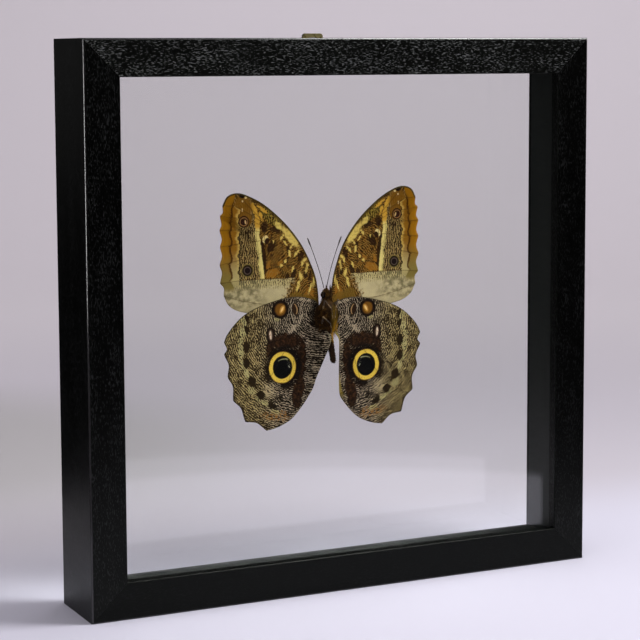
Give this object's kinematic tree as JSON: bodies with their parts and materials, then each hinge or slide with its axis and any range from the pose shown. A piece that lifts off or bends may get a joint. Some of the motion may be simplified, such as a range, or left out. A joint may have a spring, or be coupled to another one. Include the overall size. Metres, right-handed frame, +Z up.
{
  "type": "framed butterfly specimen",
  "caption": "Dried owl butterfly shown from its underside between glass panes in a deep square black wooden frame that stands by itself or hangs from a loop.",
  "frame": {"origin": "middle of the bounding box, on the underside of the bottom rail", "axes": "X to the right seen from the front, Y from the front face to the back, Z up"},
  "size_m": [0.26, 0.0428, 0.2625],
  "materials": {
    "stained_wood": "open-grained wood stained and lacquered black, satin",
    "spacer_board": "matt black painted strip",
    "glass": "clear float glass with ground edges",
    "brass": "pressed brass, lightly tarnished",
    "fur": "dense brown and ochre hair on a dried insect body",
    "glue": "clear dried glue",
    "forewing": "scaled wing membrane, ochre and cream bands with brown marbling",
    "hindwing": "scaled wing membrane, fine grey and dark brown ripples with eyespots",
    "chitin": "dry dark brown insect cuticle"
  },
  "bodies": {
    "root": {"rail_bottom": "stained_wood", "rail_left": "stained_wood", "rail_top": "stained_wood", "rail_right": "stained_wood", "spacer_bottom": "spacer_board", "spacer_left": "spacer_board", "spacer_top": "spacer_board", "spacer_right": "spacer_board", "bead_bottom": "stained_wood", "bead_left": "stained_wood", "bead_top": "stained_wood", "bead_right": "stained_wood", "front_pane": "glass", "rear_pane": "glass", "hanging_loop": "brass", "loop_screw_left": "brass", "loop_screw_right": "brass", "body": "fur", "glue_dot": "glue", "forewing_left": "forewing", "forewing_right": "forewing", "hindwing_left": "hindwing", "hindwing_right": "hindwing", "antenna_left": "chitin", "antenna_right": "chitin", "leg_middle_left": "chitin", "leg_middle_right": "chitin", "leg_hind_left": "chitin", "leg_hind_right": "chitin"}
  },
  "joints": []
}
